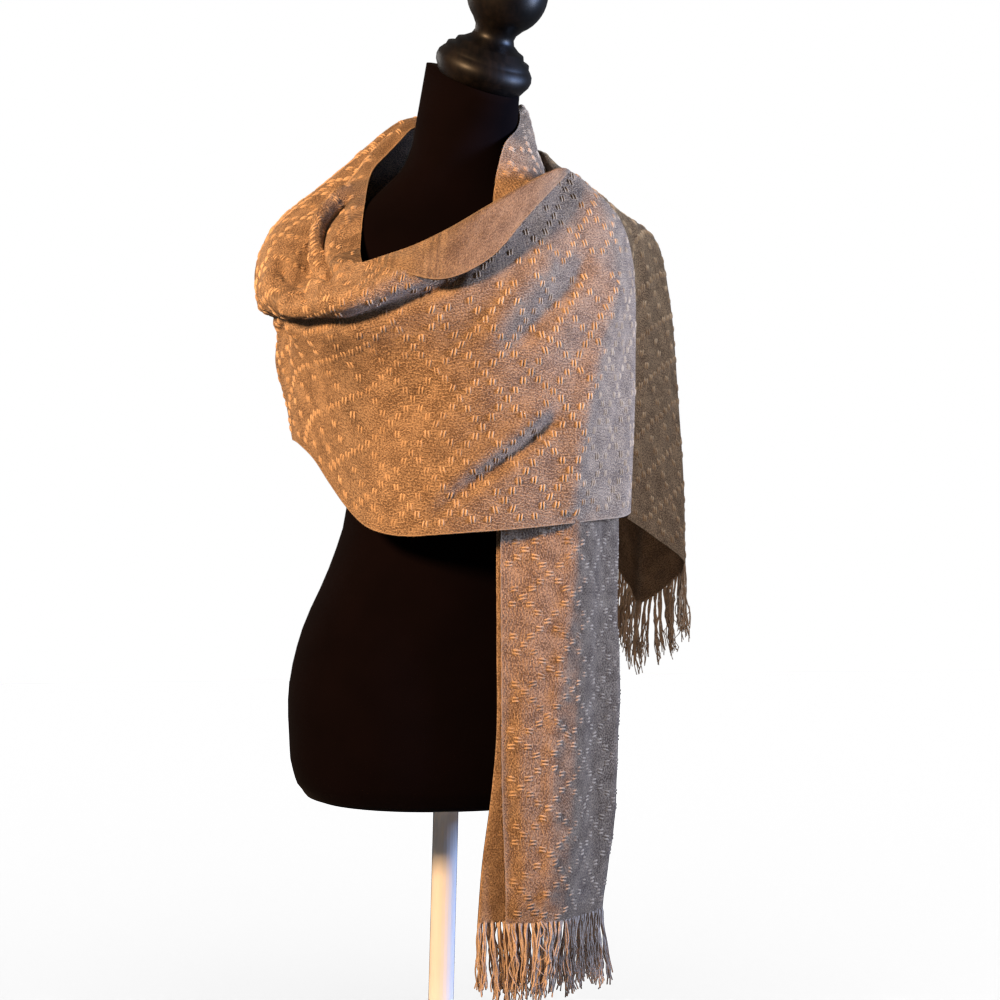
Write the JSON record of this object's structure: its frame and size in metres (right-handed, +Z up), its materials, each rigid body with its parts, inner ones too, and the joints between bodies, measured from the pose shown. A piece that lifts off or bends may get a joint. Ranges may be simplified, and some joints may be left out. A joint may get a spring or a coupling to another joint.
{
  "type": "scarf on a dress form",
  "caption": "Woven fringed scarf wrapped over the shoulders of a limbless dress form on a pole stand, with a turned collar, a pleated hanging tail and a drop over the left shoulder.",
  "frame": {"origin": "middle of the base's underside, on the floor", "axes": "+Z up along the pole, -Y the way the form faces, +X towards the form's left shoulder, where the scarf drops"},
  "size_m": [0.4685, 0.33, 1.1053],
  "materials": {
    "velvet": "matt black stretch velvet",
    "dark_wood": "turned wood, black-brown, satin lacquer",
    "painted_metal": "satin off-white paint",
    "woven_cloth": "soft heathered beige weave with paired raised floats",
    "fringe_yarn": "loose twisted beige yarn"
  },
  "bodies": {
    "root": {"form_body": "velvet", "neck_cap": "dark_wood", "stand_flange": "painted_metal", "stand_pole": "painted_metal", "stand_base": "painted_metal", "scarf_back": "woven_cloth", "scarf_shoulder": "woven_cloth", "scarf_collar": "woven_cloth", "scarf_front": "woven_cloth", "scarf_drop": "woven_cloth", "scarf_neck_band": "woven_cloth", "scarf_tail": "woven_cloth", "fringe_tail": "fringe_yarn", "fringe_drop": "fringe_yarn"}
  },
  "joints": []
}
